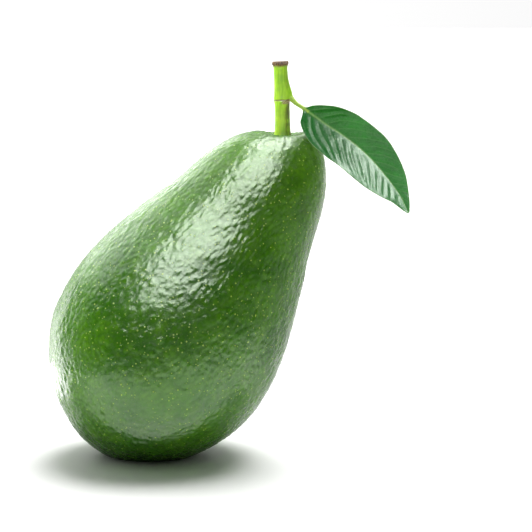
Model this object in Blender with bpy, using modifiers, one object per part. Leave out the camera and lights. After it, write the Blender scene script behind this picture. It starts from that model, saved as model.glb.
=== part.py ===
"""A ripe green-skinned avocado, as picked: the pear-shaped fruit, its short stem and one leaf on its stalk.

Frame: metres, +Z up. The origin is the middle of the small flat spot on which the fruit stands.
The fruit's neck leans towards +X. The leaf hangs to the +X side of the stem, its face towards -Y.
"""

import math

import bmesh
import bpy
from mathutils import Vector

MM = 0.001

# ---------------------------------------------------------------- driving dimensions (mm, degrees)
FRUIT_LENGTH = 117.6  # pole to pole along the fruit's own axis
FRUIT_LEAN = 30.0  # the axis leans this far from the vertical, towards +X
FRUIT_START = (-18.5, 0.6)  # X and Z of the blossom end's pole
# share of the length, fullness (the radius where the share is 0.5), sideways shift of the section's centre,
# front-to-back radius over the side-to-side radius
FRUIT_STATIONS = (
    (0.00, 36.0, 0.0, 1.0),
    (0.05, 37.2, -0.3, 1.01),
    (0.12, 38.8, -0.6, 1.02),
    (0.22, 38.8, -0.3, 1.02),
    (0.34, 36.8, 0.0, 1.01),
    (0.48, 33.0, 0.2, 1.0),
    (0.62, 28.7, 0.9, 0.98),
    (0.76, 25.6, 1.8, 0.96),
    (0.88, 26.0, 2.8, 0.96),
    (0.95, 23.6, 4.6, 0.97),
    (1.00, 19.0, 6.2, 1.0),
)
HEEL_FILL = 0.8  # how far the settled underside bulges past the turned shape, towards the lean
HEEL_AT, HEEL_SPREAD = 0.10, 0.12  # where along the axis the bulge is, and how far it spreads
REST_LEVEL = 0.0  # the flat spot's height

HOLLOW_FLOOR = (37.3, 0.0, 98.2)  # middle of the small flat floor of the hollow at the neck's top
HOLLOW_FLAT, HOLLOW_RIM = 3.3, 9.0  # the floor's radius, and the radius where the hollow runs out
SEAT_GAP = 0.3  # between the floor and the stem's foot
STEM_HEAD = (36.5, 0.0, 120.4)  # the stem's cut end
# height up the stem, radius
STEM_STATIONS = (
    (0.0, 2.75),
    (1.0, 2.45),
    (4.5, 2.25),
    (8.6, 2.28),
    (9.7, 2.52),
    (10.7, 2.42),
    (13.0, 2.28),
    (17.5, 2.12),
    (20.2, 2.15),
    (21.1, 2.38),
    (21.8, 2.34),
    (22.3, 1.75),
)

# the leaf's middle rib, from the stem's side to the tip: X, Y, Z
STALK_ROUTE = (
    (37.4, 0.0, 112.6),
    (39.3, -0.6, 110.0),
    (41.2, -1.8, 108.0),
    (43.4, -3.1, 106.6),
)
RIB_ROUTE = (
    (43.4, -3.1, 106.6),
    (46.8, -4.2, 104.2),
    (50.6, -5.0, 101.5),
    (55.0, -5.5, 98.7),
    (59.2, -5.7, 95.6),
    (63.2, -5.6, 92.0),
    (66.8, -5.2, 88.0),
    (70.0, -4.6, 84.0),
    (72.8, -3.9, 80.0),
    (75.3, -3.2, 75.0),
)
# share of the blade's length, half width above the rib, half width below it
BLADE_STATIONS = (
    (0.00, 0.7, 1.6),
    (0.05, 2.2, 4.0),
    (0.12, 4.4, 6.0),
    (0.22, 6.9, 7.8),
    (0.36, 8.6, 8.9),
    (0.50, 8.6, 8.8),
    (0.64, 7.6, 8.0),
    (0.78, 5.5, 5.9),
    (0.89, 3.0, 3.4),
    (0.96, 1.5, 1.7),
    (1.00, 0.45, 0.45),
)
BLADE_FOLD = 26.0  # each half rises this far from the plane through the rib
BLADE_THICK = 0.5
STALK_RADII = (1.7, 1.2, 0.8, 0.65)
STALK_CLEARANCE = 2.8  # the stalk's foot is cut back to this radius about the stem's axis
RIB_RADIUS, RIB_TIP_RADIUS = 0.6, 0.25


# ---------------------------------------------------------------- helpers
def smooth_value(stations, at, column):
    """A monotone cubic through (share, value, ...) rows."""
    xs = [row[0] for row in stations]
    ys = [row[column] for row in stations]
    slopes = [(ys[i + 1] - ys[i]) / (xs[i + 1] - xs[i]) for i in range(len(xs) - 1)]
    ends = [slopes[0]]
    for left, right in zip(slopes[:-1], slopes[1:]):
        ends.append(0.0 if left * right <= 0 else 2 * left * right / (left + right))
    ends.append(slopes[-1])
    at = min(max(at, xs[0]), xs[-1])
    i = max(k for k in range(len(xs) - 1) if xs[k] <= at)
    h = xs[i + 1] - xs[i]
    t = (at - xs[i]) / h
    return (
        (2 * t**3 - 3 * t**2 + 1) * ys[i]
        + (t**3 - 2 * t**2 + t) * h * ends[i]
        + (3 * t**2 - 2 * t**3) * ys[i + 1]
        + (t**3 - t**2) * h * ends[i + 1]
    )


def smooth_route(points, count):
    """count points, evenly spaced in parameter, on a Catmull-Rom curve through the route's own points."""
    points = [Vector(p) for p in points]
    padded = [2 * points[0] - points[1], *points, 2 * points[-1] - points[-2]]
    spans = len(points) - 1
    made = []
    for k in range(count):
        u = spans * k / (count - 1)
        i = min(int(u), spans - 1)
        t = u - i
        p0, p1, p2, p3 = padded[i : i + 4]
        made.append(
            0.5
            * (
                2 * p1
                + (p2 - p0) * t
                + (2 * p0 - 5 * p1 + 4 * p2 - p3) * t**2
                + (3 * p1 - p0 - 3 * p2 + p3) * t**3
            )
        )
    return made


def material(name, colour, roughness):
    made = bpy.data.materials.new(name)
    made.use_nodes = True
    shader = made.node_tree.nodes["Principled BSDF"]
    shader.inputs["Base Color"].default_value = (*colour, 1.0)
    shader.inputs["Roughness"].default_value = roughness
    shader.inputs["Metallic"].default_value = 0.0
    return made


def new_object(name, mesh, where):
    made = bpy.data.objects.new(name, mesh)
    where.objects.link(made)
    return made


def smooth_shade(obj, angle=40.0):
    obj.data.shade_smooth()
    obj.data.set_sharp_from_angle(angle=math.radians(angle))


def mesh_of(obj, name, where):
    """A curve object as a mesh object with welded caps; the curve is removed."""
    bpy.context.view_layer.update()
    graph = bpy.context.evaluated_depsgraph_get()
    mesh = bpy.data.meshes.new_from_object(obj.evaluated_get(graph))
    made = new_object(name, mesh, where)
    made.matrix_world = obj.matrix_world.copy()
    bpy.data.objects.remove(obj)
    bm = bmesh.new()
    bm.from_mesh(mesh)
    bmesh.ops.remove_doubles(bm, verts=bm.verts, dist=1e-6)
    bmesh.ops.recalc_face_normals(bm, faces=bm.faces)
    bm.to_mesh(mesh)
    bm.free()
    return made


# ---------------------------------------------------------------- fruit
LEAN = math.radians(FRUIT_LEAN)
ALONG = Vector((math.sin(LEAN), 0.0, math.cos(LEAN)))
ACROSS = Vector((math.cos(LEAN), 0.0, -math.sin(LEAN)))
BACK = Vector((0.0, 1.0, 0.0))


def fruit_point(polar, turn):
    """A point of the fruit's surface in mm: polar runs from the blossom end to the stem end, turn goes round the axis."""
    share = (1 - math.cos(polar)) / 2
    radius = math.sin(polar) * smooth_value(FRUIT_STATIONS, share, 1)
    shift = smooth_value(FRUIT_STATIONS, share, 2)
    heel = HEEL_FILL * math.exp(-(((share - HEEL_AT) / HEEL_SPREAD) ** 2)) * max(0.0, math.cos(turn)) ** 1.5
    side = (radius + heel * min(1.0, math.sin(polar) * 2)) * math.cos(turn)
    depth = radius * smooth_value(FRUIT_STATIONS, share, 3) * math.sin(turn)
    point = (
        Vector((FRUIT_START[0], 0.0, FRUIT_START[1]))
        + ALONG * (share * FRUIT_LENGTH)
        + ACROSS * (shift + side)
        + BACK * depth
    )
    if point.z > 0.6 * FRUIT_LENGTH:
        away = math.hypot(point.x - HOLLOW_FLOOR[0], point.y - HOLLOW_FLOOR[1])
        t = min(1.0, max(0.0, (HOLLOW_RIM - away) / (HOLLOW_RIM - HOLLOW_FLAT)))
        point.z += (HOLLOW_FLOOR[2] - point.z) * t**3 * (6 * t**2 - 15 * t + 10)
    return point


def make_fruit(where, cutters):
    bm = bmesh.new()
    rounds, rings = 48, 36
    bmesh.ops.create_uvsphere(bm, u_segments=rounds, v_segments=rings, radius=1.0)
    for vert in bm.verts:
        polar = math.acos(max(-1.0, min(1.0, -vert.co.z)))
        turn = math.atan2(vert.co.y, vert.co.x)
        vert.co = fruit_point(polar, turn) * MM
    bmesh.ops.recalc_face_normals(bm, faces=bm.faces)
    mesh = bpy.data.meshes.new("fruit")
    bm.to_mesh(mesh)
    bm.free()
    fruit = new_object("fruit", mesh, where)
    smooth_shade(fruit)
    mesh.materials.append(material("skin", (0.06, 0.17, 0.02), 0.32))

    bm = bmesh.new()
    bmesh.ops.create_cube(bm, size=0.2)
    bmesh.ops.translate(bm, verts=bm.verts, vec=(0.0, 0.0, -0.1 + REST_LEVEL * MM))
    block = bpy.data.meshes.new("rest_cutter")
    bm.to_mesh(block)
    bm.free()
    cutter = new_object("rest_cutter", block, cutters)
    cutter.hide_render = True
    cutter.display_type = "WIRE"
    cut = fruit.modifiers.new("flat_spot", "BOOLEAN")
    cut.operation = "DIFFERENCE"
    cut.object = cutter
    return fruit


# ---------------------------------------------------------------- stem
def make_stem(where):
    """A turned stalk: its profile runs down the outer side, from the cut end to the foot."""
    base, head = Vector(HOLLOW_FLOOR) + Vector((0, 0, SEAT_GAP)), Vector(STEM_HEAD)
    length = (head - base).length
    scale = length / STEM_STATIONS[-1][0]
    steps = 26
    heights = [STEM_STATIONS[-1][0] * (1 - k / (steps - 1)) for k in range(steps)]
    bm = bmesh.new()
    ring = [bm.verts.new((0.0, 0.0, heights[0] * scale * MM))]
    for height in heights:
        radius = smooth_value(STEM_STATIONS, height, 1)
        ring.append(bm.verts.new((radius * MM, 0.0, height * scale * MM)))
    ring.append(bm.verts.new((0.0, 0.0, 0.0)))
    for one, two in zip(ring[:-1], ring[1:]):
        bm.edges.new((one, two))
    mesh = bpy.data.meshes.new("stem")
    bm.to_mesh(mesh)
    bm.free()
    stem = new_object("stem", mesh, where)
    turned = stem.modifiers.new("turned", "SCREW")
    turned.steps = turned.render_steps = 20
    turned.use_merge_vertices = True
    turned.merge_threshold = 0.00002
    turned.use_smooth_shade = True
    stem.location = base * MM
    stem.rotation_mode = "QUATERNION"
    stem.rotation_quaternion = Vector((0, 0, 1)).rotation_difference(head - base)
    mesh.materials.append(material("stem_bark", (0.22, 0.42, 0.06), 0.45))
    return stem


# ---------------------------------------------------------------- leaf
def blade_point(route, u, v):
    """A point of the blade's middle surface: u runs along the rib, v is -1 at the lower edge and 1 at the upper."""
    spans = len(route) - 1
    i = min(int(u * spans), spans - 1)
    t = u * spans - i
    centre = route[i].lerp(route[i + 1], t)
    ahead = (route[min(i + 2, spans)] - route[max(i - 1, 0)]).normalized()
    side = ahead.cross(Vector((0, -1, 0))).normalized()
    if side.z < 0:
        side = -side
    face = side.cross(ahead).normalized()
    if face.y > 0:
        face = -face
    half = smooth_value(BLADE_STATIONS, u, 1 if v > 0 else 2)
    fold = math.radians(BLADE_FOLD) * min(1.0, 0.35 + 2.2 * u)
    out = abs(v) * half
    rise = math.sin(fold) * out * (1 - 0.22 * abs(v))
    return centre + side * math.copysign(math.cos(fold) * out, v) + face * rise


def make_leaf(where, cutters):
    rib = smooth_route(RIB_ROUTE, 41)
    bm = bmesh.new()
    along, across = 40, 12
    bmesh.ops.create_grid(bm, x_segments=along, y_segments=across, size=1.0)
    for vert in bm.verts:
        u, v = (vert.co.x + 1) / 2, vert.co.y
        vert.co = blade_point(rib, u, v) * MM
    mesh = bpy.data.meshes.new("leaf")
    bm.to_mesh(mesh)
    bm.free()
    leaf = new_object("leaf", mesh, where)
    thick = leaf.modifiers.new("thickness", "SOLIDIFY")
    thick.thickness = BLADE_THICK * MM
    thick.offset = 0.0

    stalk = smooth_route(STALK_ROUTE, 9)
    route = stalk[:-1] + rib
    curve = bpy.data.curves.new("stalk", "CURVE")
    curve.dimensions = "3D"
    curve.bevel_depth = MM
    curve.bevel_resolution = 2
    curve.use_fill_caps = True
    spline = curve.splines.new("POLY")
    spline.points.add(len(route) - 1)
    for k, point in enumerate(route):
        if k < len(stalk) - 1:
            radius = smooth_value(
                tuple((i / 3, r) for i, r in enumerate(STALK_RADII)), k / (len(stalk) - 1), 1
            )
        else:
            share = (k - len(stalk) + 1) / (len(rib) - 1)
            radius = RIB_RADIUS + (RIB_TIP_RADIUS - RIB_RADIUS) * share
        spline.points[k].co = (*(point * MM), 1.0)
        spline.points[k].radius = radius
    tube = bpy.data.objects.new("stalk_curve", curve)
    where.objects.link(tube)
    tube = mesh_of(tube, "stalk", where)
    tube.hide_render = True
    tube.display_type = "WIRE"
    join = leaf.modifiers.new("stalk_and_rib", "BOOLEAN")
    join.operation = "UNION"
    join.object = tube
    join.use_self = True

    foot, head = Vector(HOLLOW_FLOOR), Vector(STEM_HEAD)
    bm = bmesh.new()
    bmesh.ops.create_cone(
        bm,
        cap_ends=True,
        segments=40,
        radius1=STALK_CLEARANCE * MM,
        radius2=STALK_CLEARANCE * MM,
        depth=0.04,
    )
    block = bpy.data.meshes.new("stem_clearance")
    bm.to_mesh(block)
    bm.free()
    clearance = new_object("stem_clearance", block, cutters)
    clearance.location = (foot + head) / 2 * MM
    clearance.rotation_mode = "QUATERNION"
    clearance.rotation_quaternion = Vector((0, 0, 1)).rotation_difference(head - foot)
    clearance.hide_render = True
    clearance.display_type = "WIRE"
    cut = leaf.modifiers.new("stem_side", "BOOLEAN")
    cut.operation = "DIFFERENCE"
    cut.object = clearance
    smooth_shade(leaf)
    mesh.materials.append(material("leaf_green", (0.03, 0.19, 0.05), 0.35))
    return leaf, tube


def main():
    for obj in list(bpy.data.objects):
        bpy.data.objects.remove(obj)
    scene = bpy.context.scene.collection
    parts = bpy.data.collections.new("avocado")
    cutters = bpy.data.collections.new("cutters")
    scene.children.link(parts)
    scene.children.link(cutters)
    make_fruit(parts, cutters)
    make_stem(parts)
    leaf, tube = make_leaf(parts, cutters)
    parts.objects.unlink(tube)
    cutters.objects.link(tube)


main()
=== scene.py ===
"""Looks for the avocado: the fruit's pebbled glossy skin, its green stem with the node and the cut end, and its leaf.

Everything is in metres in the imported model's frame. The shapes repeat the part's own curves at a finer grain.
"""

import math

import bpy
import numpy as np
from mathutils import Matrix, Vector, noise


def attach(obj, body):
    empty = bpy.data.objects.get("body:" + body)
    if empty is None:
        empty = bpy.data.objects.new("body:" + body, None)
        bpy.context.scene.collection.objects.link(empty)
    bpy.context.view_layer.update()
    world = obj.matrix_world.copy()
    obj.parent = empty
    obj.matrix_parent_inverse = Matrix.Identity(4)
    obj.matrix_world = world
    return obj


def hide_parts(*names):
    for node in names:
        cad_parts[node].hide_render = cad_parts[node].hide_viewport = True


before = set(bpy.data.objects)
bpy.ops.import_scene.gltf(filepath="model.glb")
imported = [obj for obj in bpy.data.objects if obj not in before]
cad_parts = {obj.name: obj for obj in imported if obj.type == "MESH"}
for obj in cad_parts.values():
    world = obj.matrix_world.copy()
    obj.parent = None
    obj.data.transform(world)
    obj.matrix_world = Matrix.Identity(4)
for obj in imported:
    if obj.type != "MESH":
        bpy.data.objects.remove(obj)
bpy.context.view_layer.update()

MM = 0.001

# ---------------------------------------------------------------- the part's own curves (mm, degrees)
FRUIT_LENGTH = 117.6
FRUIT_LEAN = 30.0
FRUIT_START = (-18.5, 0.6)
FRUIT_STATIONS = (
    (0.00, 36.0, 0.0, 1.0),
    (0.05, 37.2, -0.3, 1.01),
    (0.12, 38.8, -0.6, 1.02),
    (0.22, 38.8, -0.3, 1.02),
    (0.34, 36.8, 0.0, 1.01),
    (0.48, 33.0, 0.2, 1.0),
    (0.62, 28.7, 0.9, 0.98),
    (0.76, 25.6, 1.8, 0.96),
    (0.88, 26.0, 2.8, 0.96),
    (0.95, 23.6, 4.6, 0.97),
    (1.00, 19.0, 6.2, 1.0),
)
HEEL_FILL, HEEL_AT, HEEL_SPREAD = 0.8, 0.10, 0.12
HOLLOW_FLOOR = np.array((37.3, 0.0, 98.2))
HOLLOW_FLAT, HOLLOW_RIM = 3.3, 9.0
STEM_HEAD = np.array((36.5, 0.0, 120.4))
STALK_ROUTE = ((37.4, 0.0, 112.6), (39.3, -0.6, 110.0), (41.2, -1.8, 108.0), (43.4, -3.1, 106.6))
RIB_ROUTE = (
    (43.4, -3.1, 106.6),
    (46.8, -4.2, 104.2),
    (50.6, -5.0, 101.5),
    (55.0, -5.5, 98.7),
    (59.2, -5.7, 95.6),
    (63.2, -5.6, 92.0),
    (66.8, -5.2, 88.0),
    (70.0, -4.6, 84.0),
    (72.8, -3.9, 80.0),
    (75.3, -3.2, 75.0),
)
BLADE_STATIONS = (
    (0.00, 0.7, 1.6),
    (0.05, 2.2, 4.0),
    (0.12, 4.4, 6.0),
    (0.22, 6.9, 7.8),
    (0.36, 8.6, 8.9),
    (0.50, 8.6, 8.8),
    (0.64, 7.6, 8.0),
    (0.78, 5.5, 5.9),
    (0.89, 3.0, 3.4),
    (0.96, 1.5, 1.7),
    (1.00, 0.45, 0.45),
)
BLADE_FOLD = 26.0


# ---------------------------------------------------------------- numbers
def smooth_value(stations, at, column):
    """A monotone cubic through (share, value, ...) rows, for an array of shares."""
    xs = np.array([row[0] for row in stations], float)
    ys = np.array([row[column] for row in stations], float)
    slopes = np.diff(ys) / np.diff(xs)
    ends = np.zeros(len(xs))
    ends[0], ends[-1] = slopes[0], slopes[-1]
    left, right = slopes[:-1], slopes[1:]
    turning = left * right <= 0
    ends[1:-1] = np.where(turning, 0.0, 2 * left * right / np.where(turning, 1.0, left + right))
    at = np.clip(at, xs[0], xs[-1])
    i = np.clip(np.searchsorted(xs, at, side="right") - 1, 0, len(xs) - 2)
    h = xs[i + 1] - xs[i]
    t = (at - xs[i]) / h
    return (
        (2 * t**3 - 3 * t**2 + 1) * ys[i]
        + (t**3 - 2 * t**2 + t) * h * ends[i]
        + (3 * t**2 - 2 * t**3) * ys[i + 1]
        + (t**3 - t**2) * h * ends[i + 1]
    )


def smooth_route(points, count):
    """count points on a Catmull-Rom curve through the route's own points."""
    points = np.array(points, float)
    padded = np.vstack([2 * points[0] - points[1], points, 2 * points[-1] - points[-2]])
    spans = len(points) - 1
    u = np.linspace(0, spans, count)
    i = np.minimum(u.astype(int), spans - 1)
    t = (u - i)[:, None]
    p0, p1, p2, p3 = (padded[i + k] for k in range(4))
    return 0.5 * (
        2 * p1
        + (p2 - p0) * t
        + (2 * p0 - 5 * p1 + 4 * p2 - p3) * t**2
        + (3 * p1 - p0 - 3 * p2 + p3) * t**3
    )


def step(low, high, x):
    t = np.clip((x - low) / (high - low), 0.0, 1.0)
    return t * t * (3 - 2 * t)


def bell(x, width):
    return np.exp(-((x / width) ** 2))


def unit(v):
    return v / np.maximum(np.linalg.norm(v, axis=-1, keepdims=True), 1e-12)


def grain(points, size, seed=0.0):
    """Gradient noise, about -1 to 1, whose features are about size across."""
    moved = points / size + seed
    return np.array([noise.noise(p, noise_basis="PERLIN_NEW") for p in moved.tolist()])


def cells(points, size, seed=0.0):
    """Distances to the nearest and the second nearest cell point, in cell sizes."""
    moved = points / size + seed
    out = np.empty((len(points), 2))
    for k, p in enumerate(moved.tolist()):
        d = noise.voronoi(p)[0]
        out[k] = d[0], d[1]
    return np.sqrt(np.maximum(out, 0))


def warp(points, size, amount, seed=0.0):
    moved = points / size + seed
    return points + amount * np.array([noise.noise_vector(p, noise_basis="PERLIN_NEW") for p in moved.tolist()])


# ---------------------------------------------------------------- meshes
def mesh_object(name, points, faces, attributes=()):
    """A smooth-shaded object from points in mm."""
    mesh = bpy.data.meshes.new(name)
    mesh.from_pydata((points * MM).tolist(), [], faces)
    mesh.update()
    for label, values in attributes:
        layer = mesh.attributes.new(label, "FLOAT", "POINT")
        layer.data.foreach_set("value", np.asarray(values, np.float32))
    mesh.shade_smooth()
    made = bpy.data.objects.new(name, mesh)
    bpy.context.scene.collection.objects.link(made)
    return made


def normals_of(points, faces):
    """Area-weighted vertex normals of quads and triangles."""
    out = np.zeros_like(points)
    quads = np.array([f for f in faces if len(f) == 4], int)
    tris = np.array([f for f in faces if len(f) == 3], int)
    for group in (quads, tris):
        if len(group):
            a, b = points[group[:, 0]], points[group[:, 1]]
            c, d = points[group[:, 2]], points[group[:, -1]]
            n = np.cross(c - a, d - b) if group.shape[1] == 4 else np.cross(b - a, c - a)
            for k in range(group.shape[1]):
                np.add.at(out, group[:, k], n)
    return unit(out)


def round_grid(n):
    """A cube pushed out to a unit sphere, n quads along each edge: points and quads, all facing out."""
    t = np.tan(np.linspace(-1, 1, n + 1) * math.pi / 4)
    a, b = np.meshgrid(t, t, indexing="ij")
    one = np.ones_like(a)
    sheets = [(one, a, b), (-one, b, a), (b, one, a), (a, -one, b), (a, b, one), (b, a, -one)]
    points, quads, start = [], [], 0
    index = np.arange((n + 1) ** 2).reshape(n + 1, n + 1)
    corner = np.stack([index[:-1, :-1], index[1:, :-1], index[1:, 1:], index[:-1, 1:]], -1).reshape(-1, 4)
    for sheet in sheets:
        points.append(np.stack(sheet, -1).reshape(-1, 3))
        quads.append(corner + start)
        start += (n + 1) ** 2
    points = unit(np.vstack(points))
    quads = np.vstack(quads)
    _, first, back = np.unique(np.round(points, 7), axis=0, return_index=True, return_inverse=True)
    return points[first], back.reshape(-1)[quads]


# ---------------------------------------------------------------- node helpers
class Nodes:
    """A short way to write a material's nodes."""

    def __init__(self, name):
        self.material = bpy.data.materials.new(name)
        self.material.use_nodes = True
        self.tree = self.material.node_tree
        self.shader = self.tree.nodes["Principled BSDF"]
        self.place = self.make("ShaderNodeTexCoord").outputs["Object"]

    def make(self, kind, **settings):
        node = self.tree.nodes.new(kind)
        for key, value in settings.items():
            setattr(node, key, value)
        return node

    def join(self, value, socket):
        if isinstance(value, bpy.types.NodeSocket):
            self.tree.links.new(value, socket)
        elif value is not None:
            socket.default_value = value

    def attribute(self, name):
        return self.make("ShaderNodeAttribute", attribute_name=name, attribute_type="GEOMETRY").outputs["Fac"]

    def math(self, operation, a, b=None, c=None, clamp=False):
        node = self.make("ShaderNodeMath", operation=operation, use_clamp=clamp)
        for value, socket in zip((a, b, c), node.inputs):
            self.join(value, socket)
        return node.outputs[0]

    def between(self, value, low, high, to_low=0.0, to_high=1.0, kind="SMOOTHSTEP"):
        node = self.make("ShaderNodeMapRange", interpolation_type=kind)
        for socket, given in zip(node.inputs, (value, low, high, to_low, to_high)):
            self.join(given, socket)
        return node.outputs[0]

    def mix(self, share, a, b, blend="MIX"):
        node = self.make("ShaderNodeMix", data_type="RGBA", blend_type=blend, clamp_factor=True)
        self.join(share, node.inputs[0])
        self.join((*a, 1.0) if isinstance(a, tuple) else a, node.inputs[6])
        self.join((*b, 1.0) if isinstance(b, tuple) else b, node.inputs[7])
        return node.outputs[2]

    def scaled(self, place, factors):
        node = self.make("ShaderNodeMapping")
        self.join(place, node.inputs["Vector"])
        node.inputs["Scale"].default_value = factors
        return node.outputs[0]

    def noise(self, size, detail=2.0, rough=0.5, place=None, distort=0.0):
        """Noise whose features are about size mm across, 0 to 1."""
        node = self.make("ShaderNodeTexNoise")
        self.join(place or self.place, node.inputs["Vector"])
        node.inputs["Scale"].default_value = 1000.0 / size
        node.inputs["Detail"].default_value = detail
        node.inputs["Roughness"].default_value = rough
        node.inputs["Distortion"].default_value = distort
        return node.outputs["Fac"]

    def voronoi(self, size, feature="F1", place=None, out="Distance", smooth=None):
        node = self.make("ShaderNodeTexVoronoi", feature=feature)
        self.join(place or self.place, node.inputs["Vector"])
        node.inputs["Scale"].default_value = 1000.0 / size
        if smooth is not None:
            node.inputs["Smoothness"].default_value = smooth
        return node.outputs[out]

    def bump(self, height, mm, after=None):
        """Relief of about mm millimetres for a height from 0 to 1."""
        node = self.make("ShaderNodeBump")
        node.inputs["Strength"].default_value = 1.0
        node.inputs["Distance"].default_value = mm * MM
        self.join(height, node.inputs["Height"])
        if after is not None:
            self.join(after, node.inputs["Normal"])
        return node.outputs[0]

    def finish(self, colour, roughness, normal, **plain):
        self.join(colour, self.shader.inputs["Base Color"])
        self.join(roughness, self.shader.inputs["Roughness"])
        self.join(normal, self.shader.inputs["Normal"])
        for key, value in plain.items():
            self.shader.inputs[key.replace("_", " ")].default_value = value
        return self.material


# ---------------------------------------------------------------- fruit
LEAN = math.radians(FRUIT_LEAN)
ALONG = np.array((math.sin(LEAN), 0.0, math.cos(LEAN)))
ACROSS = np.array((math.cos(LEAN), 0.0, -math.sin(LEAN)))
BACK = np.array((0.0, 1.0, 0.0))
START = np.array((FRUIT_START[0], 0.0, FRUIT_START[1]))


def fruit_points(polar, turn):
    """The part's own outline of the fruit, before its flat spot."""
    share = (1 - np.cos(polar)) / 2
    radius = np.sin(polar) * smooth_value(FRUIT_STATIONS, share, 1)
    shift = smooth_value(FRUIT_STATIONS, share, 2)
    heel = HEEL_FILL * bell(share - HEEL_AT, HEEL_SPREAD) * np.maximum(0.0, np.cos(turn)) ** 1.5
    side = (radius + heel * np.minimum(1.0, np.sin(polar) * 2)) * np.cos(turn)
    depth = radius * smooth_value(FRUIT_STATIONS, share, 3) * np.sin(turn)
    points = (
        START
        + ALONG * (share * FRUIT_LENGTH)[:, None]
        + ACROSS * (shift + side)[:, None]
        + BACK * depth[:, None]
    )
    away = np.hypot(points[:, 0] - HOLLOW_FLOOR[0], points[:, 1] - HOLLOW_FLOOR[1])
    t = np.clip((HOLLOW_RIM - away) / (HOLLOW_RIM - HOLLOW_FLAT), 0, 1)
    t = np.where(points[:, 2] > 0.6 * FRUIT_LENGTH, t, 0.0)
    points[:, 2] += (HOLLOW_FLOOR[2] - points[:, 2]) * t**3 * (6 * t**2 - 15 * t + 10)
    return points, away


def make_fruit():
    sphere, quads = round_grid(127)
    share = np.linspace(0, 1, 2001)
    radius = 2 * np.sqrt(share * (1 - share)) * smooth_value(FRUIT_STATIONS, share, 1)
    slices = np.hypot(np.diff(radius), np.diff(share) * FRUIT_LENGTH) * (radius[1:] + radius[:-1])
    area = np.concatenate([[0], np.cumsum(slices)])
    height = np.clip((1 + sphere[:, 2]) / 2, 0, 1)
    polar = np.arccos(np.clip(1 - 2 * np.interp(height, area / area[-1], share), -1, 1))
    turn = np.arctan2(sphere[:, 1], sphere[:, 0])
    base, away = fruit_points(polar, turn)
    normals = normals_of(base, quads)
    if np.sum(normals * (base - base.mean(0))) < 0:
        quads = quads[:, ::-1]
        normals = -normals

    # the relief: rounded pebbles with creases between them, on longer undulations
    top = step(26, 6, away) * (base[:, 2] > 60)
    bent = warp(base, 2.6, 0.9, 4.7)
    along = bent @ ALONG
    bent = bent - np.outer(along, ALONG) * 0.14
    big = cells(bent, 1.85, 11.3)
    small = cells(bent, 1.15, 3.9)
    crease = np.clip((big[:, 1] - big[:, 0]) * 2.4, 0, 1)
    pebble = 1 - (1 - crease) ** 2
    crease_small = np.clip((small[:, 1] - small[:, 0]) * 2.2, 0, 1)
    pebble_small = 1 - (1 - crease_small) ** 2
    patchy = np.clip(0.75 + 0.75 * grain(base, 13.0, 7.1), 0.35, 1.1)
    mid = grain(base, 3.4, 21.7)
    long = grain(base, 9.0, 2.2)
    fine = grain(base, 1.5, 33.1)
    relief = (
        0.200 * (pebble - 0.62) * patchy
        + 0.070 * (pebble_small - 0.6)
        + 0.130 * fine
        + 0.080 * mid
        + 0.190 * long
    )
    relief *= 1 - 0.55 * top
    # wrinkles that run out of the hollow
    spoke = np.arctan2(base[:, 1], base[:, 0] - HOLLOW_FLOOR[0])
    ray = np.stack([np.cos(spoke) * 5.5, np.sin(spoke) * 5.5, away * 0.16], -1)
    folds = 1 - np.abs(grain(ray, 1.0, 15.2)) * 2.4
    relief += 0.22 * (folds - 0.55) * bell(away - 7.4, 3.6) * (base[:, 2] > 60)
    relief -= 0.05
    calm = step(0.4, 2.2, base[:, 2]) * (1 - step(5.2, 3.2, away) * (base[:, 2] > 60))
    points = base + normals * (relief * calm)[:, None]

    # the flat spot that it stands on
    soft = 0.35
    z = points[:, 2]
    z = np.where(z > soft, z, np.where(z < -soft, 0.0, (z + soft) ** 2 / (4 * soft)))
    points[:, 2] = z

    made = mesh_object(
        "avocado_fruit",
        points,
        quads.tolist(),
        (
            ("crease", 1 - pebble),
            ("lift", 0.5 + 0.5 * mid),
            ("neck", step(20, 4, away) * (base[:, 2] > 60)),
            ("rise", np.clip(((base - START) @ ALONG) / FRUIT_LENGTH, 0, 1)),
        ),
    )
    return made


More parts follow.
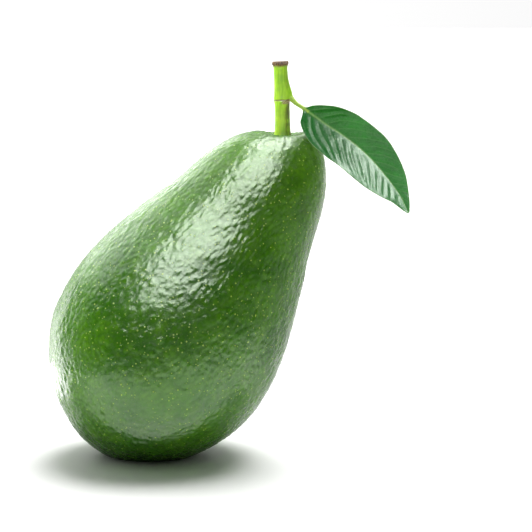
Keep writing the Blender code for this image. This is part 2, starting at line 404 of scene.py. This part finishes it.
def skin_material():
    m = Nodes("avocado_skin")
    crease, lift, neck, rise = (m.attribute(a) for a in ("crease", "lift", "neck", "rise"))
    broad = m.noise(16.0, 3.0, 0.55)
    blotch = m.noise(4.2, 4.0, 0.62, distort=0.4)
    colour = m.mix(m.between(broad, 0.35, 0.66), (0.026, 0.112, 0.0012), (0.048, 0.165, 0.0022))
    colour = m.mix(m.between(blotch, 0.42, 0.72, 0.0, 0.55), colour, (0.088, 0.225, 0.006))
    # painted light: the skin is made lighter yellow-green towards the neck, where the top of the fruit is lit
    colour = m.mix(m.between(rise, 0.55, 1.0, 0.0, 0.30), colour, (0.095, 0.230, 0.010))
    colour = m.mix(m.between(m.noise(7.0, 3.0, 0.6, m.scaled(m.place, (1.0, 1.0, 0.6))), 0.60, 0.78, 0.0, 0.30), colour, (0.070, 0.115, 0.004))
    # painted shade: the creases between the pebbles are darkened in the colour
    colour = m.mix(m.math("MULTIPLY", crease, 0.45), colour, (0.010, 0.050, 0.001))
    # pale corky dots
    dots_place = m.place
    near = m.voronoi(1.18, place=dots_place)
    luck = m.make("ShaderNodeSeparateColor")
    m.join(m.voronoi(1.18, place=dots_place, out="Color"), luck.inputs[0])
    size = m.between(luck.outputs[0], 0.0, 1.0, 0.11, 0.22, "LINEAR")
    dot = m.between(m.math("DIVIDE", near, size), 1.25, 0.55)
    dot = m.math("MULTIPLY", dot, m.between(luck.outputs[1], 0.05, 0.55))
    tiny = m.voronoi(0.95)
    dust = m.math("MULTIPLY", m.between(tiny, 0.22, 0.10), m.between(m.noise(3.0, 2.0), 0.45, 0.62, 0.0, 0.45))
    colour = m.mix(m.math("MULTIPLY", dust, 0.6), colour, (0.150, 0.340, 0.016))
    colour = m.mix(m.math("MULTIPLY", dot, 0.80), colour, (0.360, 0.520, 0.060))
    rough = m.between(m.noise(2.6, 3.0, 0.6), 0.3, 0.7, 0.16, 0.23)
    rough = m.math("ADD", rough, m.math("MULTIPLY", crease, 0.10))
    rough = m.math("ADD", rough, m.math("MULTIPLY", dot, 0.18))
    bump = m.bump(m.noise(0.95, 3.0, 0.6, distort=0.3), 0.11)
    bump = m.bump(dot, 0.035, bump)
    bump = m.bump(m.noise(0.28, 2.0, 0.5), 0.012, bump)
    return m.finish(colour, rough, bump, IOR=1.26)


# ---------------------------------------------------------------- stem
STEM_PROFILE = (
    (0.00, 2.85),
    (0.04, 2.62),
    (0.10, 2.42),
    (0.20, 2.33),
    (0.34, 2.28),
    (0.43, 2.30),
    (0.470, 2.36),
    (0.492, 2.48),
    (0.505, 2.36),
    (0.520, 2.46),
    (0.545, 2.40),
    (0.62, 2.30),
    (0.76, 2.16),
    (0.88, 2.12),
    (0.930, 2.20),
    (0.955, 2.42),
    (0.975, 2.50),
    (0.992, 2.38),
    (1.00, 2.15),
)


def make_stem():
    foot = HOLLOW_FLOOR + np.array((0.0, 0.0, -0.9))
    axis = unit(STEM_HEAD - foot)
    length = float(np.linalg.norm(STEM_HEAD - foot))
    east = unit(np.cross(np.array((0.0, 1.0, 0.0)), axis))
    north = np.cross(axis, east)
    around, rise = 120, 230
    share = np.concatenate([np.linspace(0, 0.42, 70, endpoint=False), np.linspace(0.42, 0.58, 70, endpoint=False), np.linspace(0.58, 0.92, 50, endpoint=False), np.linspace(0.92, 1.0, rise - 190)])
    angle = np.linspace(0, 2 * math.pi, around, endpoint=False)
    s, a = np.meshgrid(share, angle, indexing="ij")
    s, a = s.ravel(), a.ravel()
    z = foot[2] + s * length
    radius = smooth_value(STEM_PROFILE, s, 1)
    # the flare from which the leaf's stalk grows, on the +X side
    level = foot[2] + 0.0
    out = smooth_value(((0.0, 0.0), (107.9, 0.0), (108.5, 0.20), (109.1, 0.70), (109.9, 0.95), (111.0, 0.85), (112.6, 0.50), (114.6, 0.16), (116.5, 0.0), (130.0, 0.0)), z, 1)
    turn = (a + 0.30 + math.pi) % (2 * math.pi) - math.pi
    width = smooth_value(((0.0, 0.45), (108.6, 0.42), (110.0, 0.50), (112.0, 0.72), (115.0, 1.0), (130.0, 1.1)), z, 1)
    radius = radius + out * bell(turn, width)
    ring = np.stack([np.cos(a) * 2.2, np.sin(a) * 2.2, z], -1)
    ridge = grain(ring * np.array((1.0, 1.0, 0.10)), 0.75, 8.8)
    lump = grain(ring, 2.6, 3.3)
    rim = step(0.925, 0.965, s)
    crumbs = grain(ring, 0.55, 5.5)
    node = bell(s - 0.5, 0.022)
    radius = radius + 0.045 * ridge + 0.07 * lump + (0.34 * rim + 0.08 * node) * crumbs
    points = foot + axis * (s * length)[:, None] + east * (np.cos(a) * radius)[:, None] + north * (np.sin(a) * radius)[:, None]
    points[:, 2] += 0.22 * node * np.sin(a * 1.0 + 0.5)
    # a slight bow, so that it isn't a ruled line
    points[:, 0] += 0.22 * np.sin(s * math.pi)
    head = np.full(len(s), 0.0)
    faces = []
    count = len(share)
    for i in range(count - 1):
        for k in range(around):
            faces.append([i * around + k, i * around + (k + 1) % around, (i + 1) * around + (k + 1) % around, (i + 1) * around + k])
    # the cut end: rings to the middle, sunk inside the rim, rough
    rings = 16
    last = (count - 1) * around
    end = points[last : last + around]
    centre = end.mean(0)
    cap, caps = [], []
    for j in range(1, rings):
        t = 1 - j / rings
        made = centre + (end - centre) * t
        dip = -0.34 * step(1.0, 0.62, t) + 0.30 * bell(t, 0.35)
        fleck = grain(made, 0.62, 17.0) * 0.20 + grain(made, 1.5, 7.7) * 0.18
        made = made + axis * (dip + fleck * step(1.0, 0.8, t))[..., None] if np.ndim(dip) else made + axis * (dip + fleck * float(step(1.0, 0.8, t)))[:, None]
        cap.append(made)
        caps.append(np.full(around, 1 - t))
    points = np.vstack([points, *cap, centre[None] - axis * 0.05])
    start = last
    for j in range(1, rings):
        here = count * around + (j - 1) * around
        for k in range(around):
            faces.append([start + k, start + (k + 1) % around, here + (k + 1) % around, here + k])
        start = here
    tip = len(points) - 1
    for k in range(around):
        faces.append([start + k, start + (k + 1) % around, tip])
    # a closed foot
    foot_middle = len(points)
    points = np.vstack([points, points[:around].mean(0)[None]])
    for k in range(around):
        faces.append([(k + 1) % around, k, foot_middle])
    rise_value = np.concatenate([s, np.ones(len(points) - len(s))])
    rise_value[-1] = 0.0
    angle_value = np.concatenate([np.cos(a + 0.30), np.zeros(len(points) - len(s))])
    cut = np.concatenate([np.zeros(len(s)), *[c for c in caps], [1.0], [0.0]])
    flare = np.concatenate([out * bell(turn, width), np.zeros(len(points) - len(s))])
    return mesh_object(
        "avocado_stem",
        points,
        faces,
        (("up", rise_value), ("east", angle_value), ("cut", cut), ("flare", flare)),
    )


def stem_material():
    m = Nodes("avocado_stem")
    up, east, cut, flare = (m.attribute(a) for a in ("up", "east", "cut", "flare"))
    fibre_place = m.scaled(m.place, (1.0, 1.0, 0.10))
    fibre = m.noise(0.55, 3.0, 0.6, fibre_place)
    colour = m.mix(m.between(fibre, 0.35, 0.68), (0.260, 0.560, 0.008), (0.440, 0.740, 0.025))
    colour = m.mix(m.between(up, 0.30, 0.47, 0.35, 0.0), colour, (0.560, 0.760, 0.060))
    colour = m.mix(m.between(m.noise(3.2, 2.0), 0.45, 0.75, 0.0, 0.5), colour, (0.160, 0.400, 0.020))
    # painted light: the stem's lit -X side is made paler
    colour = m.mix(m.between(east, -0.55, -1.0, 0.0, 0.45), colour, (0.520, 0.640, 0.160))
    # painted shade: the +X side below the leaf's stalk is darkened to brown, in patches
    flank = m.math("MULTIPLY", m.between(east, 0.40, 0.88), m.between(up, 0.52, 0.46))
    flank = m.math("MULTIPLY", flank, m.between(m.noise(1.1, 3.0, 0.6, m.scaled(m.place, (1.0, 1.0, 0.35))), 0.25, 0.60))
    colour = m.mix(m.math("MULTIPLY", flank, 0.85), colour, (0.060, 0.048, 0.014))
    # painted shade: the +X side above the node is darkened as well
    upper_flank_shade = m.math("MULTIPLY", m.between(east, 0.62, 1.0), m.between(up, 0.60, 0.72))
    colour = m.mix(m.math("MULTIPLY", upper_flank_shade, 0.45), colour, (0.080, 0.120, 0.018))
    # node: a thin brown line and a pale scar
    wobble = m.math("MULTIPLY", m.math("SUBTRACT", m.noise(2.0, 2.0), 0.5), 0.022)
    at = m.math("ADD", up, wobble)
    line = m.between(m.math("ABSOLUTE", m.math("SUBTRACT", at, 0.503)), 0.012, 0.004)
    colour = m.mix(m.math("MULTIPLY", line, 0.82), colour, (0.120, 0.060, 0.014))
    scar = m.math("MULTIPLY", m.between(m.math("ABSOLUTE", m.math("SUBTRACT", at, 0.475)), 0.034, 0.018), m.between(east, 0.05, 0.50))
    speck = m.noise(0.5, 3.0, 0.7)
    colour = m.mix(m.math("MULTIPLY", scar, 0.85), colour, m.mix(m.between(speck, 0.42, 0.60), (0.140, 0.080, 0.030), (0.520, 0.430, 0.240)))
    small = m.between(m.voronoi(1.3), 0.17, 0.07)
    colour = m.mix(m.math("MULTIPLY", small, 0.35), colour, (0.300, 0.230, 0.080))
    # the rim and the cut end: dried brown
    dry = m.math("ADD", up, m.math("MULTIPLY", m.math("SUBTRACT", m.noise(0.9, 3.0, 0.6), 0.5), 0.05))
    dry = m.between(dry, 0.915, 0.955)
    bark = m.mix(m.between(m.noise(0.5, 4.0, 0.7), 0.36, 0.64), (0.030, 0.012, 0.003), (0.200, 0.110, 0.022))
    wood = m.mix(m.between(m.noise(0.42, 4.0, 0.7), 0.38, 0.66), (0.060, 0.026, 0.008), (0.420, 0.270, 0.100))
    colour = m.mix(dry, colour, bark)
    colour = m.mix(m.between(cut, 0.10, 0.30), colour, wood)
    rough = m.math("ADD", m.between(fibre, 0.3, 0.7, 0.34, 0.46), m.math("MULTIPLY", dry, 0.30))
    bump = m.bump(m.noise(0.40, 3.0, 0.6, fibre_place), 0.05)
    bump = m.bump(m.math("MULTIPLY", dry, m.noise(0.30, 4.0, 0.7)), 0.14, bump)
    return m.finish(colour, rough, bump, Subsurface_Weight=0.10, Subsurface_Scale=0.0012, IOR=1.28)


# ---------------------------------------------------------------- leaf
def make_leaf():
    stalk_count, rib_count = 44, 250
    stalk = smooth_route(STALK_ROUTE, stalk_count)
    rib = smooth_route(RIB_ROUTE, rib_count)
    route = np.vstack([stalk[:-1], rib])
    u = np.concatenate([np.full(stalk_count - 1, 0.0), np.linspace(0, 1, rib_count)])
    before = np.concatenate([np.linspace(0, 1, stalk_count)[:-1], np.ones(rib_count)])
    # the stalk starts a little inside the stem's flare
    inside = step(0.30, 0.0, before)
    ahead = np.gradient(route, axis=0)
    wide = 9
    kernel = np.hanning(2 * wide + 1)
    kernel /= kernel.sum()
    padded = np.vstack([np.repeat(ahead[:1], wide, 0), ahead, np.repeat(ahead[-1:], wide, 0)])
    ahead = unit(np.stack([np.convolve(padded[:, k], kernel, "valid") for k in range(3)], -1))
    side = unit(np.cross(ahead, np.array((0.0, -1.0, 0.0))))
    side = np.where(side[:, 2:3] < 0, -side, side)
    face = unit(np.cross(side, ahead))
    face = np.where(face[:, 1:2] > 0, -face, face)

    half_ring = 150
    t = np.linspace(-1, 1, half_ring)
    v_line = np.sin(t * math.pi / 2)
    v = np.concatenate([v_line, v_line[::-1][1:-1]])
    front = np.concatenate([np.ones(half_ring), -np.ones(half_ring - 2)])
    count, around = len(route), len(v)
    U, V = np.repeat(u[:, None], around, 1), np.repeat(v[None], count, 0)
    F = np.repeat(front[None], count, 0)
    C, S, N = (x[:, None, :] for x in (route, side, face))

    half = np.where(V > 0, smooth_value(BLADE_STATIONS, U, 1), smooth_value(BLADE_STATIONS, U, 2))
    # slight waves along the margin
    length = 47.0
    lead = U * length
    wave = 0.10 * np.sin(lead * 0.55 + 1.0) + 0.07 * np.sin(lead * 1.25 + 2.0 * (V > 0))
    half = half * (1 + 0.010 * wave)
    fold = np.radians(BLADE_FOLD) * np.minimum(1.0, 0.35 + 2.2 * U)
    out = np.abs(V) * half
    sign = np.sign(V)
    centred = C + S * (sign * np.cos(fold) * out)[..., None] + N * (np.sin(fold) * out * (1 - 0.22 * np.abs(V)))[..., None]
    turn = fold * (1 - 0.44 * np.abs(V)) * np.tanh(out / 0.45) * sign
    normal = unit(N * np.cos(turn)[..., None] - S * np.sin(turn)[..., None])

    # lateral veins leave the midrib at about 50 degrees and bend towards the tip
    spacing = 3.7
    lag = out / math.tan(math.radians(50)) + 0.055 * out**2
    jitter = 0.5 * np.sin(lead * 0.43 + 1.7 * sign)
    phase = (lead - lag + jitter) / spacing + np.where(V > 0, 0.35, 0.0)
    nearest = np.abs(phase - np.round(phase)) * spacing * 0.77
    strong = step(0.02, 0.12, U) * step(1.0, 0.90, U)
    fade = step(1.02, 0.70, np.abs(V)) * strong
    vein = bell(nearest, 0.17) * fade * step(0.0, 1.2, out)
    quilt = np.cos(phase * 2 * math.pi)
    # finer veins between them
    phase2 = phase * 3.0 + 0.3 * np.sin(out * 1.9)
    between = np.abs(phase2 - np.round(phase2)) * spacing / 3 * 0.77
    vein2 = bell(between, 0.10) * fade * step(0.4, 1.6, out)
    flat = centred.reshape(-1, 3)
    rumple = grain(flat, 4.2, 6.1).reshape(count, around)
    rumple2 = grain(flat, 1.3, 9.4).reshape(count, around)
    midrib = bell(out, 0.24 + 0.16 * (1 - U))
    lift = (
        -0.085 * quilt * fade * step(0.2, 2.0, out)
        - 0.045 * vein
        - 0.012 * vein2
        + 0.16 * rumple * step(0.1, 2.0, out)
        + 0.020 * rumple2
        + 0.26 * np.sin(lead * 0.40 + 0.9 * sign) * np.abs(V) ** 2.5 * strong
    )
    thick = 0.15 * np.sqrt(np.maximum(0.0, 1 - np.abs(V) ** 8)) + 0.015
    rib_back = (0.62 - 0.42 * U) * bell(out, 0.42 - 0.18 * U)
    skin = np.where(F > 0, thick + 0.07 * midrib, -thick - rib_back - 0.07 * vein - 0.02 * vein2)
    edge = np.abs(V) > 0.9999
    skin = np.where(edge, 0.0, skin)
    blade = centred + normal * (lift + skin)[..., None]

    stalk_radius = smooth_value(((0.0, 1.35), (0.25, 1.12), (0.55, 0.76), (0.8, 0.62), (1.0, 0.62)), before, 1)
    round_r = np.where(u > 0, 0.62, stalk_radius)[:, None]
    circle = C + S * (V * round_r)[..., None] + N * (F * np.sqrt(np.maximum(0, 1 - V**2)) * round_r)[..., None]
    share = step(0.0, 0.055, U)
    share = np.where(before[:, None] < 1, 0.0, share)
    points = circle * (1 - share)[..., None] + blade * share[..., None]
    nub = grain(points.reshape(-1, 3), 1.6, 2.9).reshape(count, around)
    points = points + N * (0.05 * nub * (1 - share))[..., None]

    flat = points.reshape(-1, 3)
    index = np.arange(count * around).reshape(count, around)
    faces = []
    for i in range(count - 1):
        a, b = index[i], index[i + 1]
        a2, b2 = np.roll(a, -1), np.roll(b, -1)
        faces.append(np.stack([a, a2, b2, b], -1))
    faces = np.vstack(faces).tolist()
    first, last = len(flat), len(flat) + 1
    flat = np.vstack([flat, flat[index[0]].mean(0)[None], flat[index[-1]].mean(0)[None] + ahead[-1] * 0.12])
    for k in range(around):
        faces.append([int(index[0][(k + 1) % around]), int(index[0][k]), first])
        faces.append([int(index[-1][k]), int(index[-1][(k + 1) % around]), last])
    ends = lambda x, a, b: np.concatenate([x.ravel(), [a, b]])
    stalky = np.where(before[:, None] < 1, 1.0, 1 - step(0.0, 0.035, U) * step(0.15, 0.7, out)) * np.ones_like(V)
    stalky = np.where(U > 0.06, 0.0, stalky)
    rib_mask = np.maximum(bell(out, 0.17 + 0.22 * (1 - U)), 0) * (before[:, None] >= 1)
    margin = step(0.30, 0.06, half * (1 - np.abs(V))) * (share > 0.5)
    made = mesh_object(
        "avocado_leaf",
        flat,
        faces,
        (
            ("stalk", ends(stalky, 1, 0)),
            ("rib", ends(rib_mask, 1, 0)),
            ("vein", ends(vein, 0, 0)),
            ("vein2", ends(vein2, 0, 0)),
            ("margin", ends(margin, 0, 1)),
            ("under", ends((F < 0).astype(float), 0, 0)),
            ("lower", ends(step(0.5, -0.5, V * half), 0, 0)),
            ("reach", ends(U, 0, 1)),
        ),
    )
    mesh = made.data
    mesh.update()
    volume = sum(
        Vector(mesh.vertices[p.vertices[0]].co).dot(
            Vector(mesh.vertices[p.vertices[1]].co).cross(Vector(mesh.vertices[p.vertices[2]].co))
        )
        for p in mesh.polygons
    )
    if volume < 0:
        mesh.flip_normals()
    return made


def leaf_material():
    m = Nodes("avocado_leaf")
    names = ("stalk", "rib", "vein", "vein2", "margin", "under", "lower", "reach")
    stalk, rib, vein, vein2, margin, under, lower, reach = (m.attribute(a) for a in names)
    broad = m.noise(9.0, 3.0, 0.55)
    grainy = m.noise(1.1, 4.0, 0.65)
    colour = m.mix(m.between(broad, 0.35, 0.68), (0.008, 0.135, 0.004), (0.016, 0.200, 0.012))
    colour = m.mix(m.between(reach, 0.25, 1.0, 0.0, 0.55), colour, (0.014, 0.165, 0.022))
    # painted sheen: the lower half of the fold, which catches the light, is made paler and bluer
    colour = m.mix(m.math("MULTIPLY", lower, 0.55), colour, (0.030, 0.190, 0.050))
    colour = m.mix(m.between(grainy, 0.45, 0.75, 0.0, 0.4), colour, (0.032, 0.240, 0.026))
    cell = m.voronoi(0.75, feature="DISTANCE_TO_EDGE")
    colour = m.mix(m.between(cell, 0.10, 0.02, 0.0, 0.22), colour, (0.070, 0.230, 0.060))
    colour = m.mix(m.math("MULTIPLY", vein2, 0.25), colour, (0.070, 0.240, 0.060))
    colour = m.mix(m.math("MULTIPLY", vein, 0.38), colour, (0.110, 0.300, 0.080))
    pale = m.mix(m.between(m.noise(1.4, 3.0, 0.6), 0.3, 0.7), (0.110, 0.240, 0.060), (0.150, 0.290, 0.090))
    pale = m.mix(m.math("MULTIPLY", vein, 0.6), pale, (0.280, 0.400, 0.140))
    colour = m.mix(under, colour, pale)
    colour = m.mix(m.math("MULTIPLY", margin, 0.75), colour, (0.250, 0.400, 0.170))
    colour = m.mix(m.math("MULTIPLY", rib, m.between(reach, 0.0, 1.0, 0.90, 0.50)), colour, (0.230, 0.450, 0.120))
    spot = m.math("MULTIPLY", m.between(m.voronoi(3.1), 0.10, 0.05), 0.5)
    colour = m.mix(spot, colour, (0.220, 0.330, 0.120))
    green = m.mix(m.between(m.noise(0.7, 3.0, 0.6), 0.35, 0.65), (0.300, 0.520, 0.050), (0.420, 0.600, 0.100))
    colour = m.mix(stalk, colour, green)
    rough = m.between(m.noise(1.6, 3.0, 0.6), 0.3, 0.7, 0.23, 0.33)
    rough = m.math("ADD", rough, m.math("MULTIPLY", under, 0.25))
    bump = m.bump(m.noise(0.55, 4.0, 0.65, distort=0.5), 0.035)
    bump = m.bump(m.between(cell, 0.0, 0.16), 0.018, bump)
    return m.finish(colour, rough, bump, IOR=1.38)


# ---------------------------------------------------------------- the stage
def make_stage():
    sides, rings = 96, [0.0, 0.3, 0.8, 1.6, 3.0, 6.0, 12.0]
    points, faces = [(0.0, 0.0, 0.0)], []
    for r in rings[1:]:
        for k in range(sides):
            a = 2 * math.pi * k / sides
            points.append((r * math.cos(a), r * math.sin(a), 0.0))
    for k in range(sides):
        faces.append([0, 1 + k, 1 + (k + 1) % sides])
    for j in range(len(rings) - 2):
        for k in range(sides):
            a, b = 1 + j * sides, 1 + (j + 1) * sides
            faces.append([a + k, b + k, b + (k + 1) % sides, a + (k + 1) % sides])
    mesh = bpy.data.meshes.new("floor")
    mesh.from_pydata(points, [], faces)
    mesh.update()
    floor = bpy.data.objects.new("floor", mesh)
    bpy.context.scene.collection.objects.link(floor)
    m = Nodes("floor_white")
    tone = m.mix(m.noise(400.0, 2.0), (0.86, 0.86, 0.855), (0.88, 0.88, 0.875))
    mesh.materials.append(m.finish(tone, 0.55, m.bump(m.noise(6.0, 2.0), 0.01)))


def softbox(name, direction, distance, width, height, radiance, pieces, target=(0.005, 0.0, 0.055), face=None, gloss=True):
    """A soft lamp that lights only these pieces, so that the floor keeps its own even light."""
    light = bpy.data.lights.new(name, "AREA")
    light.shape = "RECTANGLE"
    light.size, light.size_y = width, height
    light.energy = radiance * math.pi * width * height
    lamp = bpy.data.objects.new(name, light)
    back = Vector(direction).normalized()
    lamp.location = Vector(target) + back * distance
    lamp.rotation_mode = "QUATERNION"
    lamp.rotation_quaternion = (Vector(face) if face else back).to_track_quat("Z", "Y")
    lamp.visible_camera = False
    lamp.visible_diffuse, lamp.visible_glossy = not gloss, gloss
    lamp.light_linking.receiver_collection = pieces
    bpy.context.scene.collection.objects.link(lamp)
    return lamp


def make_world():
    world = bpy.data.worlds.new("studio")
    world.use_nodes = True
    tree = world.node_tree
    background = tree.nodes["Background"]
    place = tree.nodes.new("ShaderNodeTexCoord")
    parts = tree.nodes.new("ShaderNodeSeparateXYZ")
    tree.links.new(place.outputs["Generated"], parts.inputs[0])

    def between(value, low, high, to_low, to_high):
        node = tree.nodes.new("ShaderNodeMapRange")
        node.interpolation_type = "SMOOTHSTEP"
        for socket, given in zip(node.inputs, (value, low, high, to_low, to_high)):
            if isinstance(given, bpy.types.NodeSocket):
                tree.links.new(given, socket)
            else:
                socket.default_value = given
        return node.outputs[0]

    def calc(operation, a, b):
        node = tree.nodes.new("ShaderNodeMath")
        node.operation = operation
        for value, socket in zip((a, b), node.inputs):
            if isinstance(value, bpy.types.NodeSocket):
                tree.links.new(value, socket)
            else:
                socket.default_value = value
        return node.outputs[0]

    depth = between(parts.outputs[1], -0.35, 0.45, 0.06, 1.15)
    across = between(parts.outputs[0], -1.0, 1.0, 1.20, 0.60)
    tilt = tree.nodes.new("ShaderNodeVectorMath")
    tilt.operation = "DOT_PRODUCT"
    tree.links.new(place.outputs["Generated"], tilt.inputs[0])
    tilt.inputs[1].default_value = (0.16, 0.34, 0.927)
    sky = between(tilt.outputs["Value"], 0.90, 0.985, 0.0, 15.0)
    total = calc("MAXIMUM", calc("MULTIPLY", depth, across), sky)
    tree.links.new(total, background.inputs["Strength"])
    background.inputs["Color"].default_value = (1.0, 1.0, 1.0, 1.0)
    bpy.context.scene.world = world


def make_camera():
    elevation = math.radians(8.0)
    back = Vector((0.0, -math.cos(elevation), math.sin(elevation)))
    camera = bpy.data.cameras.new("camera")
    camera.sensor_width = 36.0
    camera.lens = 124.25
    camera.clip_start, camera.clip_end = 0.01, 100.0
    made = bpy.data.objects.new("camera", camera)
    made.location = Vector((0.0323, 0.0, 0.0583)) + back * 0.56
    made.rotation_mode = "QUATERNION"
    made.rotation_quaternion = (-back).to_track_quat("-Z", "Y")
    bpy.context.scene.collection.objects.link(made)
    bpy.context.scene.camera = made


def main():
    fruit = make_fruit()
    fruit.data.materials.append(skin_material())
    stem = make_stem()
    stem.data.materials.append(stem_material())
    leaf = make_leaf()
    leaf.data.materials.append(leaf_material())
    for piece, node, slot in ((fruit, "fruit", "fruit_skin"), (stem, "stem", "stem_bark"), (leaf, "leaf", "leaf_green")):
        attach(piece, "root")
        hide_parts(node)
    make_stage()
    make_world()
    lit, leaf_lit = (bpy.data.collections.new(n) for n in ("lit_pieces", "lit_leaf"))
    for piece in (fruit, stem):
        lit.objects.link(piece)
    leaf_lit.objects.link(leaf)
    softbox("key", (-0.06, -0.60, 0.80), 0.85, 0.84, 0.62, 42.0, lit)
    softbox("above", (0.06, -0.02, 1.0), 0.70, 0.55, 0.36, 33.0, lit)
    softbox("left", (-0.46, 0.74, 0.48), 0.80, 0.55, 0.45, 5.0, lit)
    softbox("flank", (-0.70, 0.22, 0.68), 0.80, 0.50, 0.45, 6.0, lit)
    softbox("strip", (-0.78, 0.60, 0.04), 0.13, 0.08, 0.08, 4.0, lit, target=(-0.03, 0.0, 0.030))
    softbox("strip_low", (0.0, 0.0, 1.0), 0.001, 0.09, 0.09, 7.0, lit, target=(-0.105, 0.050, 0.0), face=(0, 0, -1))
    softbox("bounce", (0.0, 0.0, 1.0), 0.001, 0.19, 0.095, 5.6, lit, target=(0.004, -0.073, 0.0), face=(0, 0, -1))
    softbox("bounce_right", (0.0, 0.0, 1.0), 0.001, 0.07, 0.07, 4.0, lit, target=(0.096, -0.038, 0.0), face=(0, 0, -1))
    softbox("fill", (-0.78, 0.08, 0.62), 0.90, 0.60, 0.50, 8.5, lit, gloss=False)
    softbox("front_fill", (0.05, -0.80, 0.55), 0.90, 0.60, 0.50, 0.5, lit, gloss=False)
    softbox("leaf_gloss", (0.55, -0.79, 0.26), 0.60, 0.42, 0.42, 28.0, leaf_lit, target=(0.060, -0.008, 0.090))
    softbox("leaf_fill", (0.20, -0.60, 0.78), 0.90, 0.60, 0.60, 1.6, leaf_lit, gloss=False)
    make_camera()
    bpy.context.scene.view_settings.view_transform = "Standard"
    bpy.context.scene.view_settings.look = "None"


main()
